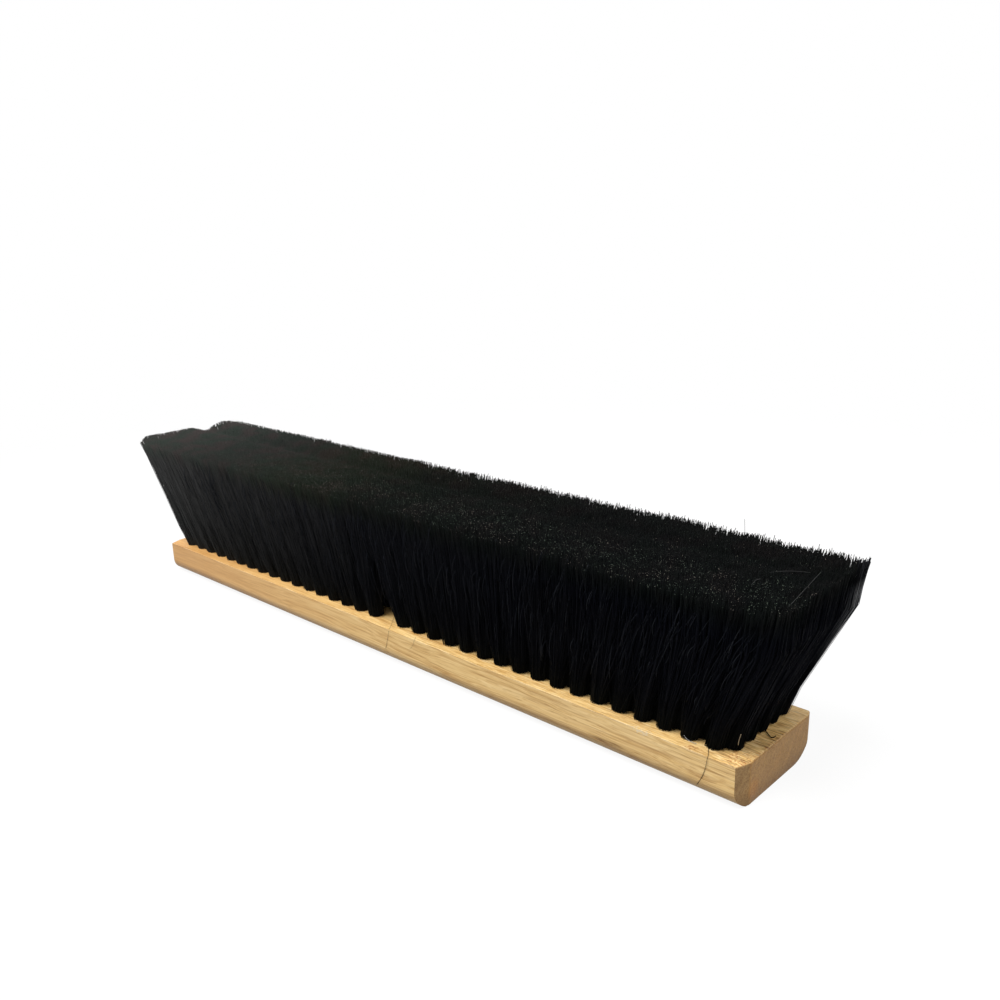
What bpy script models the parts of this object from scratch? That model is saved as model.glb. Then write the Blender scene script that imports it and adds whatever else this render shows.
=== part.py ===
"""Push broom head: one hardwood block with staggered blind holes, and black tufts set in them.

Metres, +Z up. The head lies on its flat back: z = 0 is the back, the drilled face is up and the
tufts rise from it. X runs along the block, -Y is the front, and the origin is the middle of the back.
"""

import math

import bmesh
import bpy

# Block
BLOCK_LENGTH = 0.4572
BLOCK_WIDTH = 0.0635
BLOCK_THICKNESS = 0.0206375
FRONT_BACK_ROUND = 0.0087
REAR_BACK_ROUND = 0.0160
FRONT_CORNER_CUT = (0.0030, 0.0075)
REAR_CORNER_CUT = (0.0015, 0.00375)
ARC_STEPS = 6

# Tuft holes
HOLE_DIAMETER = 0.00635
HOLE_DEPTH = 0.0127
HOLE_PITCH = 0.01235
ROW_PITCH = 0.0049
END_MARGIN = 0.0120
EDGE_MARGIN = 0.0095
HOLE_SIDES = 6

# Handle socket, a tapered blind hole in the back
SOCKET_MOUTH_DIAMETER = 0.0238
SOCKET_TIP_DIAMETER = 0.0190
SOCKET_FLOOR = 0.0033
SOCKET_TILT = math.radians(30)
SOCKET_CENTRE_Y = -0.0030
SOCKET_WALL = 0.0010
SOCKET_RUN_OUT = 0.0120
SOCKET_SIDES = 24

# Tufts
TRIM_HEIGHT = 0.0750
MERGE_HEIGHT = 0.0060
END_OVERHANG = 0.0164
SIDE_OVERHANG = 0.00725
FRONT_EDGE_DROP = 0.0015
REAR_EDGE_DROP = 0.0010
VALLEY_DEPTH = 0.0028
VALLEY_Y = 0.0100
RIDGE_INSET = 0.0100
FLANK_SHARE = 0.25
FIT_GAP = 0.0003
STEM_OVERLAP = 0.0005

# Workshop values: how far cutters stand out, and how finely the socket is looked for
CUTTER_SPARE = 0.0020
PROBE_STEPS = 16

# Finishes
WOOD_COLOUR = (0.66, 0.46, 0.26, 1)
WOOD_ROUGHNESS = 0.55
TUFT_COLOUR = (0.012, 0.012, 0.014, 1)
TUFT_ROUGHNESS = 0.5


def clear_scene():
    for thing in list(bpy.data.objects):
        bpy.data.objects.remove(thing, do_unlink=True)


def make_material(name, colour, roughness):
    material = bpy.data.materials.new(name)
    material.use_nodes = True
    shader = material.node_tree.nodes["Principled BSDF"]
    shader.inputs["Base Color"].default_value = colour
    shader.inputs["Roughness"].default_value = roughness
    shader.inputs["Metallic"].default_value = 0
    return material


def add_object(name, mesh_builder, material=None):
    """Make a named object from a bmesh, with its faces pointing outwards."""
    bmesh.ops.recalc_face_normals(mesh_builder, faces=mesh_builder.faces)
    mesh = bpy.data.meshes.new(name)
    mesh_builder.to_mesh(mesh)
    mesh_builder.free()
    thing = bpy.data.objects.new(name, mesh)
    bpy.context.scene.collection.objects.link(thing)
    if material:
        mesh.materials.append(material)
    return thing


def combine(thing, tool, operation):
    """Boolean the tool into the thing, and leave the tool as a hidden helper."""
    modifier = thing.modifiers.new(tool.name, "BOOLEAN")
    modifier.operation = operation
    modifier.object = tool
    tool.hide_render = True
    tool.display_type = "WIRE"


def add_prism(builder, centre, radius, bottom, top, sides):
    """Add a closed upright prism whose corners lie on a circle, the first of them straight behind it."""
    rings = []
    for z in (bottom, top):
        ring = []
        for side in range(sides):
            angle = 2 * math.pi * side / sides
            x = centre[0] + radius * math.sin(angle)
            y = centre[1] + radius * math.cos(angle)
            ring.append(builder.verts.new((x, y, z)))
        rings.append(ring)
    join_rings(builder, rings)


def join_rings(builder, rings):
    """Skin a list of vertex rings and cap both ends."""
    count = len(rings[0])
    for lower, upper in zip(rings, rings[1:]):
        for i in range(count):
            j = (i + 1) % count
            builder.faces.new((lower[i], lower[j], upper[j], upper[i]))
    builder.faces.new(rings[0])
    builder.faces.new(rings[-1])


def columns_per_side():
    """Straight columns on each side of the middle; each has a staggered column outside it."""
    usable = BLOCK_LENGTH / 2 - END_MARGIN
    return int(usable / HOLE_PITCH - 0.5)


def row_places():
    """(y, shift) of each row from front to rear; shift is the stagger in hole pitches."""
    half = int((BLOCK_WIDTH / 2 - EDGE_MARGIN) / ROW_PITCH + 0.5)
    return [((row - half + 0.5) * ROW_PITCH, 0.5 * (row % 2)) for row in range(2 * half)]


def socket_depth():
    """Length of the socket's tilted axis that leaves SOCKET_FLOOR of wood above its flat end."""
    rise = BLOCK_THICKNESS - SOCKET_FLOOR - SOCKET_TIP_DIAMETER / 2 * math.sin(SOCKET_TILT)
    return rise / math.cos(SOCKET_TILT)


def socket_radius(depth):
    """The handle socket's radius at a depth along its tilted axis."""
    taper = (SOCKET_MOUTH_DIAMETER - SOCKET_TIP_DIAMETER) / 2 / socket_depth()
    return SOCKET_MOUTH_DIAMETER / 2 - taper * depth


def meets_socket(x, y):
    """True if a tuft hole at x, y would leave too little wood beside the handle socket."""
    offset_y = y - SOCKET_CENTRE_Y
    floor = BLOCK_THICKNESS - HOLE_DEPTH
    for step in range(PROBE_STEPS + 1):
        z = floor + HOLE_DEPTH * step / PROBE_STEPS
        depth = z * math.cos(SOCKET_TILT) - offset_y * math.sin(SOCKET_TILT)
        distance = math.hypot(x, offset_y * math.cos(SOCKET_TILT) + z * math.sin(SOCKET_TILT))
        reach = socket_radius(depth) + HOLE_DIAMETER / 2 + SOCKET_WALL
        if depth < socket_depth() + SOCKET_WALL and distance < reach:
            return True
    return False


def bank_tufts(side, column):
    """Centres of the tufts that one bank holds: a straight column and the staggered one outside it."""
    places = [(side * (column + shift) * HOLE_PITCH, y) for y, shift in row_places()]
    return [place for place in places if not meets_socket(*place)]


def block_section():
    """(y, z) points of the block's section: drilled face on top, back edges rounded unalike."""
    half = BLOCK_WIDTH / 2
    sides = []
    for side, radius in ((1, REAR_BACK_ROUND), (-1, FRONT_BACK_ROUND)):
        points = [(side * half, BLOCK_THICKNESS)]
        for step in range(ARC_STEPS + 1):
            angle = math.pi / 2 * step / ARC_STEPS
            y = half - radius * (1 - math.cos(angle))
            points.append((side * y, radius * (1 - math.sin(angle))))
        sides.append(points)
    rear, front = sides
    return rear + front[::-1]


def corner_cutter():
    """Four wedges that take the upright corners off the block."""
    builder = bmesh.new()
    for side_y, (cut_along, cut_across) in ((-1, FRONT_CORNER_CUT), (1, REAR_CORNER_CUT)):
        along = cut_along * (1 + CUTTER_SPARE / cut_across)
        across = cut_across * (1 + CUTTER_SPARE / cut_along)
        outline = (
            (BLOCK_LENGTH / 2 - along, BLOCK_WIDTH / 2 + CUTTER_SPARE),
            (BLOCK_LENGTH / 2 + CUTTER_SPARE, BLOCK_WIDTH / 2 - across),
            (BLOCK_LENGTH / 2 + CUTTER_SPARE, BLOCK_WIDTH / 2 + CUTTER_SPARE),
        )
        for side_x in (-1, 1):
            rings = [
                [builder.verts.new((side_x * x, side_y * y, z)) for x, y in outline]
                for z in (-CUTTER_SPARE, BLOCK_THICKNESS + CUTTER_SPARE)
            ]
            join_rings(builder, rings)
    return add_object("corner_cutter", builder)


def hole_cutter():
    """All tuft holes as prisms that stand through the drilled face."""
    builder = bmesh.new()
    bottom = BLOCK_THICKNESS - HOLE_DEPTH
    top = BLOCK_THICKNESS + CUTTER_SPARE
    for side in (-1, 1):
        for column in range(1, columns_per_side() + 1):
            for place in bank_tufts(side, column):
                add_prism(builder, place, HOLE_DIAMETER / 2, bottom, top, HOLE_SIDES)
    return add_object("hole_cutter", builder)


def socket_cutter():
    """The tapered, tilted handle socket, longer than the hole where it leaves the back."""
    builder = bmesh.new()
    rings = []
    for depth in (-SOCKET_RUN_OUT, socket_depth()):
        radius = socket_radius(depth)
        ring = []
        for step in range(SOCKET_SIDES):
            angle = 2 * math.pi * step / SOCKET_SIDES
            across = radius * math.sin(angle)
            y = SOCKET_CENTRE_Y - depth * math.sin(SOCKET_TILT) + across * math.cos(SOCKET_TILT)
            z = depth * math.cos(SOCKET_TILT) + across * math.sin(SOCKET_TILT)
            ring.append(builder.verts.new((radius * math.cos(angle), y, z)))
        rings.append(ring)
    join_rings(builder, rings)
    return add_object("socket_cutter", builder)


def make_block(material):
    builder = bmesh.new()
    rings = [
        [builder.verts.new((x, y, z)) for y, z in block_section()]
        for x in (-BLOCK_LENGTH / 2, BLOCK_LENGTH / 2)
    ]
    join_rings(builder, rings)
    block = add_object("block", builder, material)
    combine(block, corner_cutter(), "DIFFERENCE")
    combine(block, hole_cutter(), "DIFFERENCE")
    combine(block, socket_cutter(), "DIFFERENCE")


def bank_outline():
    """(y, z) points round a bank's flank: its foot, then the trimmed top from front to rear."""
    merge = BLOCK_THICKNESS + MERGE_HEIGHT
    top = BLOCK_THICKNESS + TRIM_HEIGHT
    foot_half = row_places()[-1][0] + HOLE_DIAMETER / 2 + FIT_GAP
    top_half = BLOCK_WIDTH / 2 + SIDE_OVERHANG
    return [
        (-foot_half, merge),
        (-top_half, top - FRONT_EDGE_DROP),
        (-top_half + RIDGE_INSET, top),
        (VALLEY_Y, top - VALLEY_DEPTH),
        (top_half - RIDGE_INSET, top),
        (top_half, top - REAR_EDGE_DROP),
        (foot_half, merge),
    ]


def flared_x(x, z):
    """Where the flank that starts at x on the merge height has leant to at height z."""
    inner = (1 - FLANK_SHARE) * HOLE_PITCH
    outer = (columns_per_side() + 0.5 + FLANK_SHARE) * HOLE_PITCH
    tip = (x - inner) / (outer - inner) * (BLOCK_LENGTH / 2 + END_OVERHANG)
    rise = (z - BLOCK_THICKNESS - MERGE_HEIGHT) / (TRIM_HEIGHT - MERGE_HEIGHT)
    return x + (tip - x) * rise


def make_bank(name, side, column, material):
    """One bank of tufts: stems in their holes, merged above into a flared slab."""
    builder = bmesh.new()
    inner = (column - FLANK_SHARE) * HOLE_PITCH
    outer = (column + 0.5 + FLANK_SHARE) * HOLE_PITCH
    rings = [
        [builder.verts.new((side * (flared_x(x, z) + inset), y, z)) for y, z in bank_outline()]
        for x, inset in ((inner, FIT_GAP / 2), (outer, -FIT_GAP / 2))
    ]
    join_rings(builder, rings)
    bank = add_object(name, builder, material)

    stems = bmesh.new()
    stem_radius = HOLE_DIAMETER / 2 - FIT_GAP / math.cos(math.pi / HOLE_SIDES)
    stem_foot = BLOCK_THICKNESS - HOLE_DEPTH + FIT_GAP
    stem_top = BLOCK_THICKNESS + MERGE_HEIGHT + STEM_OVERLAP
    for place in bank_tufts(side, column):
        add_prism(stems, place, stem_radius, stem_foot, stem_top, HOLE_SIDES)
    combine(bank, add_object(f"{name}_stems", stems), "UNION")


def main():
    clear_scene()
    wood = make_material("hardwood", WOOD_COLOUR, WOOD_ROUGHNESS)
    fibre = make_material("black_fibre", TUFT_COLOUR, TUFT_ROUGHNESS)
    make_block(wood)
    for side, side_name in ((-1, "left"), (1, "right")):
        for column in range(1, columns_per_side() + 1):
            make_bank(f"tuft_bank_{side_name}_{column:02d}", side, column, fibre)


main()
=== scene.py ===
"""Looks of the push broom head: a grained hardwood block, and its tufts strand by strand."""

import math

import bpy
import numpy as np
from mathutils import Matrix, Vector


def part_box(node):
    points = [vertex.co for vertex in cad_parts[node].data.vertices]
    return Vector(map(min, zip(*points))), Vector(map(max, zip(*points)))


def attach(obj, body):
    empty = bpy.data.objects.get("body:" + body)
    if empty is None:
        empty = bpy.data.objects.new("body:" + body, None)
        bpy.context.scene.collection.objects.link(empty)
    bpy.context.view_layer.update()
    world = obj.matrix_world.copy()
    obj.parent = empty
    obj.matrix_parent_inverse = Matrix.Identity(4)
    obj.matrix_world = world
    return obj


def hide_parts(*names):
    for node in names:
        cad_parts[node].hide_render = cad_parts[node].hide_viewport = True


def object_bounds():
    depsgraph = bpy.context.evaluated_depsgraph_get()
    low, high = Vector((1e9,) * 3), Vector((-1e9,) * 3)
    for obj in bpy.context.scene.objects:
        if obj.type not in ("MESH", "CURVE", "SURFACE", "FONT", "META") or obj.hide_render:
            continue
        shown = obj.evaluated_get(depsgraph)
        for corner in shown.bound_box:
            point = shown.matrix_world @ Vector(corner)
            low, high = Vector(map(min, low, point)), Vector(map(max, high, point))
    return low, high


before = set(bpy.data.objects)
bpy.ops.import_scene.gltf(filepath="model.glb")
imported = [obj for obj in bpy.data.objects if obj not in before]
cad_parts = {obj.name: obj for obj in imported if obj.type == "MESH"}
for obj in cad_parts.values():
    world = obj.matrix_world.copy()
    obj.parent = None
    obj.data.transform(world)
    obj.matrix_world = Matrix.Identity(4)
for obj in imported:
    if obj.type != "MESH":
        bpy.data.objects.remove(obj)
cad_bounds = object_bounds()

MM = 0.001

# Reach within which two places count as the same
CLOSE = 0.1 * MM

# Camera
CAMERA_PLACE = (0.39932, -0.35240, 0.24296)
CAMERA_RIGHT = (0.73263, 0.68011, -0.02599)
CAMERA_DOWN = (0.17591, -0.22611, -0.95808)
CAMERA_FORWARD = (-0.65748, 0.69736, -0.28532)
CAMERA_LENS = 35.211
CAMERA_NEAR = 10 * MM
SENSOR_WIDTH = 36

# Block, whose overall size comes from the CAD block; a corner cut goes along the block and then across it
FRONT_ROUND = 8.7 * MM
REAR_ROUND = 16.0 * MM
ROUND_STEPS = 14
FRONT_CORNER_CUT = (3.0 * MM, 7.5 * MM)
REAR_CORNER_CUT = (1.5 * MM, 3.75 * MM)
LONG_EDGE_SOFT = 0.7 * MM
LONG_EDGE_STEPS = 3
END_EDGE_SOFT = 0.9 * MM
END_EDGE_STEPS = 4
SMOOTH_ANGLE = math.radians(35)

# Tuft holes and handle socket
HOLE_RADIUS = 3.175 * MM
HOLE_DEPTH = 12.7 * MM
HOLE_SIDES = 16
SOCKET_MOUTH_RADIUS = 11.9 * MM
SOCKET_TIP_RADIUS = 9.5 * MM
SOCKET_DEPTH = 14.53 * MM
SOCKET_RUN_OUT = 12 * MM
SOCKET_SIDES = 64
SOCKET_TILT = math.radians(30)
SOCKET_CENTRE_Y = -3.0 * MM

# Strands
STRANDS_PER_TUFT = 268
STRAND_RADIUS = 0.158 * MM
STRAND_THICKNESS = (0.8, 1.15)
STRAND_SIDES = 3
ROOT_SINK = 2.0 * MM
GOLDEN_ANGLE = math.pi * (3 - math.sqrt(5))
DISC_SCATTER = 0.05
STRAND_BOW = 0.75 * MM

# Rings up a strand: height, radius of its tuft in mm, then its shares of the spreading and of the leaning
PROFILE = np.array(((0, 3.0, 0, 0), (0.034, 4.15, 0.02, 0.02), (0.20, 3.5, 0.21, 0.20), (1, 0, 1, 1)))
END_PROFILE = np.array(
    ((0, 3.0, 0, 0), (0.034, 4.1, 0.02, 0.02), (0.20, 3.1, 0.17, 0.18), (0.74, 1.2, 0.75, 0.89), (1, 0, 1, 1))
)
END_COLUMN = 9

# Tips: how far a tuft's strands part, how far inside the top's edges it points, and how far tips stray
TIP_SPREAD = (8.2 * MM, 5.0 * MM)
TIP_INSET_X = 3.8 * MM
TIP_INSET_Y = 4.6 * MM
TIP_SCATTER = 2.8 * MM
LENGTH_SCATTER = 0.4 * MM
SQUARING = 0.8
END_LEAN_POWER = (1.35, 1.0)
STRAY_SHARE = 0.14
STRAY_SCATTER = 3.2
# How much calmer the strands lie where the painted glare greys them, towards the left end
GLARE_CALM = 0.75

# Locks, into which the strands of a tuft gather: one in its core and the others round it
LOCKS_PER_TUFT = 7
LOCK_CORE = 0.42
LOCK_RADIUS = 0.72
LOCK_GATHER = 0.12
LOCK_SHIFT = 0.5 * MM
LOCK_BOW = 0.5 * MM
LOCK_LENGTH_SCATTER = 0.7 * MM

# Middle gap, over which the nearest tufts lean
GAP_LEAN = 0.6
GAP_REACH = 5 * MM
GAP_FAN_POWER = 1.45
GAP_EDGE = 6 * MM

# Trimmed top: a shallow valley along it, deeper to the left, and long edges that roll over
VALLEY_Y = 11.5 * MM
VALLEY_SLOPE = 0.016
VALLEY_DEPTH = 2.4 * MM
VALLEY_TAPER = 1.4 * MM
VALLEY_WIDTH = 7 * MM
ROLL_FROM = 30 * MM
ROLL_WIDTH = 9 * MM
FRONT_ROLL = 1.5 * MM
REAR_ROLL = 0.4 * MM

# Edges of the trimmed top: what share of a tip's reach past them is cut back, along x and y
EDGE_OVERHANG_Y = 0.5 * MM
EDGE_TRIM = (0.93, 0.85)

# Corners of the trimmed top, measured slantwise; the left ones are rounder, and a painted sheen lies on the
# right
CORNER_SIDE = np.array((0.733, 0.680))
CORNER_REACH = (200.5 * MM, 207.5 * MM)
CORNER_TRIM = 0.95
SHEEN_FROM = 198.5 * MM
SHEEN_FULL = 202.0 * MM
SHEEN_SHARE = 0.75
SHEEN_SHADE = (0.81, 0.885)
SHEEN_ROUGHNESS = 0.3

# Shades of the strands, from black to the grey of the painted glare towards the left end, as places across
# their map
BLACK_SHADE = 0.05
GLARE_SHADE = 0.60
PALEST_SHADE = 0.76
SHADE_SCATTER = 0.11
LOCK_SHADE_SCATTER = 0.03
GLARE_EVENNESS = 0.85
GLARE_START = 120 * MM
GLARE_LENGTH = 350 * MM

# Brightness of the cut tips, a painted highlight, as shares of the height of their part of the map
TIP_SHINE = 0.17
# Painted glare also brightens the tips towards the left end
GLARE_SHINE = 0.25
SHINE_RANGE = (0.4, 1.6)
LOCK_SHINE_RANGE = (0.5, 1.5)
# Painted shade: the tips along the valley are dimmed
VALLEY_SHINE = 0.5
VALLEY_PAINTED_SHADE_WIDTH = 9 * MM
REAR_SHINE = 0.06
REAR_SHINE_FROM = 14 * MM
FRONT_THIRD = -10 * MM
BRIGHT_SHINE = (0.66, 1)
BRIGHT_SHARE_FRONT = 0.15
BRIGHT_SHARE = 0.03
BRIGHT_FROM = -150 * MM
BRIGHT_RISE = 120 * MM

# Glints: single fibres that cross the two long sides of the mass, their paler grey a painted highlight; their
# places are shares of its half length, and their heights are shares of the trim
GLINTS = 520
GLINT_RINGS = 7
GLINT_FRONT_SHARE = 0.65
GLINT_RIGHTMOST = 0.97
GLINT_RUN = 1.75
GLINT_CROWDING = 1.4
GLINT_LOW = (0.14, 0.78)
GLINT_RISE = (0.10, 0.36)
GLINT_HIGHEST = 0.99
GLINT_LEAN = 0.11
GLINT_FAN = 0.42
GLINT_LEAN_SCATTER = 0.10
GLINT_CURVE = 0.8 * MM
GLINT_DIVE = 1.3 * MM
GLINT_PROUD = 0.6 * MM
GLINT_SHADE = 0.79
GLINT_BRIGHTEST = 0.027
GLINT_RARITY = 3
GLINT_WEAKEST = 0.2
GLINT_STRONG_FROM = 0.8
GLINT_THICKNESS = (0.75, 1.05)
GLINT_TIP = 0.1

# Map of a strand: its column's width, how far its body runs, and the places of its ends
COLUMN_WIDTH = 1 / 96
PATCH_RADIUS = COLUMN_WIDTH / 3
BODY_MAP = 0.9
FOOT_PATCH = 0.02
TIP_PATCH = 0.945
TIP_PATCH_HEIGHT = 0.05

# Studio
KEY_PLACE = (-0.1, -1.2, 2.7)
KEY_AIM = (0, 0, 0.05)
KEY_SIZE = 1.5
KEY_POWER = 90
RIM_PLACE = (1.3, 1.2, 1.3)
RIM_AIM = (0.2, 0, 0.05)
RIM_SIZE = 0.8
RIM_POWER = 14
SKY_LIGHT = 0.5
FLOOR_SIZE = 30
FLOOR_LOOK = (0.95, 0.95, 0.95)
FLOOR_THROW = (0.35, 0.35, 0.35)
FLOOR_GLOW = 0.9
FLOOR_WHITE_FROM = 0.35
FLOOR_WHITE_TO = 0.75

# Oak
PITH_Y = 35 * MM
PITH_Z = -90 * MM
RING_SPACING = 2.3 * MM
RING_SWAY = 26 * MM
RING_WOBBLE = 2.2 * MM
GRAIN_DRIFT = 14 * MM
GRAIN_WAVER = 2.5 * MM
LINE_SPACING = 1.8 * MM

# Shed fibres: points in millimetres, thickness, and place on the black fibre's scale of greys
HAIR_RINGS = 14
HAIR_ROUNDINGS = 3
HAIR_TIP = 0.5
LOOSE_HAIRS = (
    (
        (
            (0, -19, 22.5),
            (1, -21, 21.1),
            (8, -29, 21.2),
            (10.2, -32.4, 20.8),
            (8.3, -32.0, 15),
            (5.9, -31.9, 8),
        ),
        0.15,
        0.52,
    ),
    (
        (
            (208.5, -25, 22),
            (209.6, -26.5, 21.1),
            (212.2, -30.6, 21.3),
            (212.9, -32.6, 20.6),
            (212, -32, 16),
            (210.4, -32, 10),
            (207.5, -31.3, 5),
        ),
        0.22,
        0.1,
    ),
    (
        ((29, -29.5, 21), (30.4, -31, 21.2), (31, -32.5, 20.4), (29.3, -31.95, 17), (26.5, -31.95, 14)),
        0.11,
        0.83,
    ),
    (
        (
            (214, 8, 22.5),
            (218.3, 4.4, 21.2),
            (222.8, 0.8, 21.0),
            (225.2, -1.2, 20.95),
            (226.2, -0.4, 20.95),
            (226.3, 1.2, 21.2),
        ),
        0.5,
        0.03,
    ),
    (((197.6, -26.6, 22.9), (199.4, -27.3, 22.0), (201.6, -27.4, 21.6), (204, -26.8, 21.4)), 0.34, 0.90),
    (((222.5, -24.6, 26.8), (223.0, -25.4, 29), (224.2, -25.8, 33)), 0.3, 0.96),
    (((242.8, -29, 95.4), (240.2, -9, 96.4), (236.1, 13, 95.8)), 0.18, 0.76),
    (((221.3, -18, 95.8), (221, -14, 96.8), (221.1, -10, 96)), 0.18, 0.76),
    (((220, -1, 95.8), (226, 4, 96.6), (233, 9.5, 95.8)), 0.16, 0.75),
    (((187, 37.8, 92), (186.8, 38, 97), (186.3, 38.2, 102.5)), 0.22, 0.6),
)

rng = np.random.default_rng(20)


class Wire:
    """A shader socket that takes part in Python arithmetic by adding Math nodes."""

    def __init__(self, finish, socket):
        self.finish = finish
        self.socket = socket

    def output(self, name):
        return Wire(self.finish, self.socket.node.outputs[name])

    def math(self, operation, *values):
        return self.finish.node("Math", {"operation": operation}, *values)

    def __add__(self, other):
        return self.math("ADD", self, other)

    def __radd__(self, other):
        return self.math("ADD", other, self)

    def __sub__(self, other):
        return self.math("SUBTRACT", self, other)

    def __rsub__(self, other):
        return self.math("SUBTRACT", other, self)

    def __mul__(self, other):
        return self.math("MULTIPLY", self, other)

    def __rmul__(self, other):
        return self.math("MULTIPLY", other, self)

    def __pow__(self, other):
        return self.math("POWER", self, other)

    def __abs__(self):
        return self.math("ABSOLUTE", self)


class Finish:
    """A Principled material, built node by node."""

    def __init__(self, name, roughness, specular):
        self.material = bpy.data.materials.new(name)
        self.material.use_nodes = True
        self.tree = self.material.node_tree
        self.shader = self.tree.nodes["Principled BSDF"]
        self.shader.inputs["Roughness"].default_value = roughness
        self.shader.inputs["Specular IOR Level"].default_value = specular

    def node(self, kind, settings, *values, **named):
        """Add a node, set it, feed its sockets in order or by name, and return its first output."""
        node = self.tree.nodes.new("ShaderNode" + kind)
        for key, setting in settings.items():
            if key == "stops":
                self.set_stops(node.color_ramp.elements, setting)
            else:
                setattr(node, key, setting)
        for place, value in enumerate(values):
            self.feed(node.inputs[place], value)
        for key, value in named.items():
            self.feed(node.inputs[key.replace("_", " ")], value)
        return Wire(self, node.outputs[0])

    def set_stops(self, elements, stops):
        while len(elements) < len(stops):
            elements.new(0.5)
        for element, (position, colour) in zip(elements, stops):
            element.position = position
            element.color = (*colour, 1)

    def feed(self, socket, value):
        if isinstance(value, Wire):
            self.tree.links.new(value.socket, socket)
        else:
            socket.default_value = value

    def surface(self, name, value):
        self.feed(self.shader.inputs[name], value)

    def ramp(self, value, *stops):
        """A colour that changes with a value, through (position, colour) stops."""
        return self.node("ValToRGB", {"stops": stops}, value)

    def fade(self, value, low, high, start=0.0, end=1.0):
        """A value that goes smoothly from start to end between low and high."""
        settings = {"interpolation_type": "SMOOTHSTEP"}
        return self.node("MapRange", settings, value, low, high, start, end)

    def mix(self, mode, share, first, second):
        """Two colours mixed, given as wires or as red, green and blue."""
        node = self.node("Mix", {"data_type": "RGBA", "blend_type": mode}).socket.node
        colours = [value if isinstance(value, Wire) else (*value, 1) for value in (first, second)]
        self.feed(node.inputs["Factor"], share)
        self.feed(node.inputs[6], colours[0])
        self.feed(node.inputs[7], colours[1])
        return Wire(self, node.outputs[2])

    def coordinates(self):
        """The place of a point of the surface, whole and as its x, y and z."""
        place = self.node("TexCoord", {}).output("Object")
        split = self.node("SeparateXYZ", {}, place)
        return place, split.output("X"), split.output("Y"), split.output("Z")

    def near(self, place, centre, reach):
        """1 at a centre and 0 from its reach outwards, along each axis, both in millimetres."""
        scale = tuple(1 / (size * MM) for size in reach)
        shift = tuple(-middle / size for middle, size in zip(centre, reach))
        scaled = self.node("Mapping", {}, place, Scale=scale, Location=shift)
        distance = self.node("VectorMath", {"operation": "LENGTH"}, scaled).output("Value")
        return self.fade(distance, 0.35, 1.0, 1.0, 0.0)

    def stretched(self, place, along, across, detail=2.0, roughness=0.5, shift=0.0):
        """Noise drawn out along the grain: along and across are the size of its blotches."""
        scale = (1 / along, 1 / across, 1 / across)
        drawn = self.node("Mapping", {}, place, Scale=scale, Location=(shift, shift, shift))
        return self.node("TexNoise", {}, Vector=drawn, Scale=1.0, Detail=detail, Roughness=roughness)


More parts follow.
